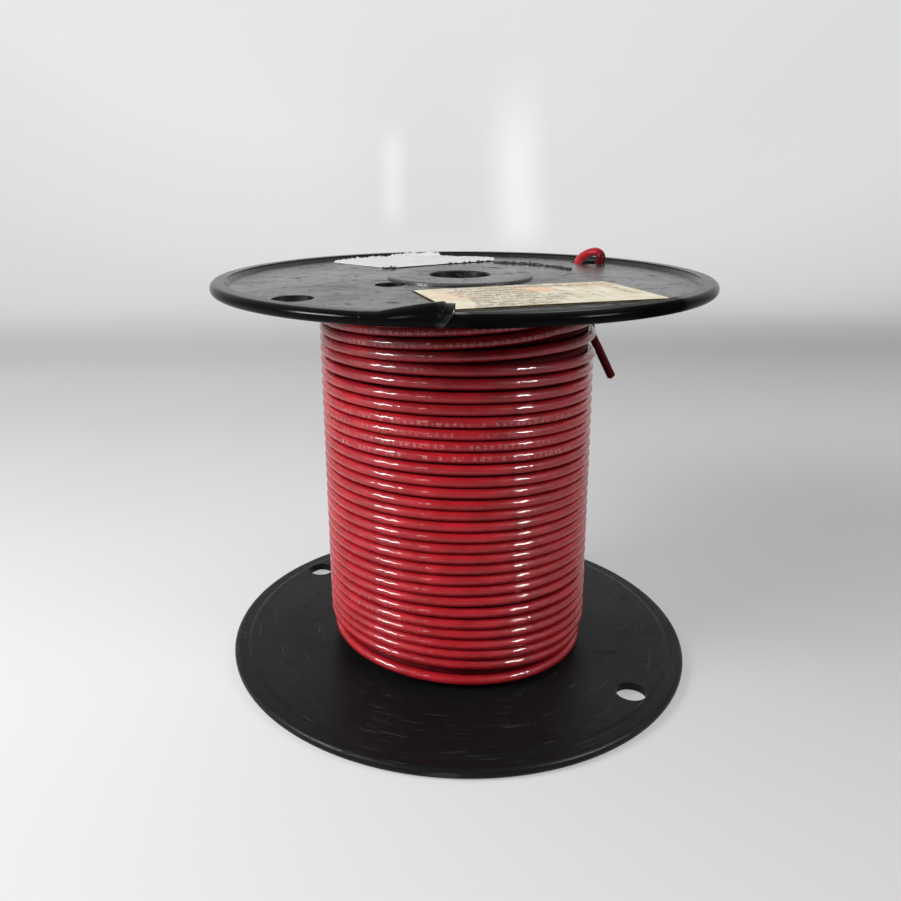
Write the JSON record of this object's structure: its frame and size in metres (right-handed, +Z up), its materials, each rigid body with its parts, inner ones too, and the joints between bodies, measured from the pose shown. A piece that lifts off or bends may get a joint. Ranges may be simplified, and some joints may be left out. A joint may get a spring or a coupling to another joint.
{
  "type": "wire spool",
  "caption": "Flanged wire spool with a hollow barrel and arbor hole, part wound with insulated wire whose free end is looped through a hole near the rim.",
  "frame": {"origin": "centre of the bottom rim's face, where the spool stands", "axes": "+Z up along the arbor hole, +X to the right and +Y away from the side that shows the label"},
  "size_m": [0.165, 0.165, 0.1399],
  "materials": {
    "black_plastic": "semi-gloss moulded, scuffed",
    "red_insulation": "gloss clear jacket over red",
    "copper": "bare drawn strand",
    "label_paper": "aged paper with worn print",
    "torn_paper": "matt paper backing"
  },
  "bodies": {
    "root": {"bottom_flange": "black_plastic", "top_flange": "black_plastic", "barrel": "black_plastic", "inner_turns": "red_insulation", "outer_turns": "red_insulation", "wire_tail": "red_insulation", "tail_conductor": "copper", "product_label": "label_paper", "torn_label": "torn_paper"}
  },
  "joints": []
}
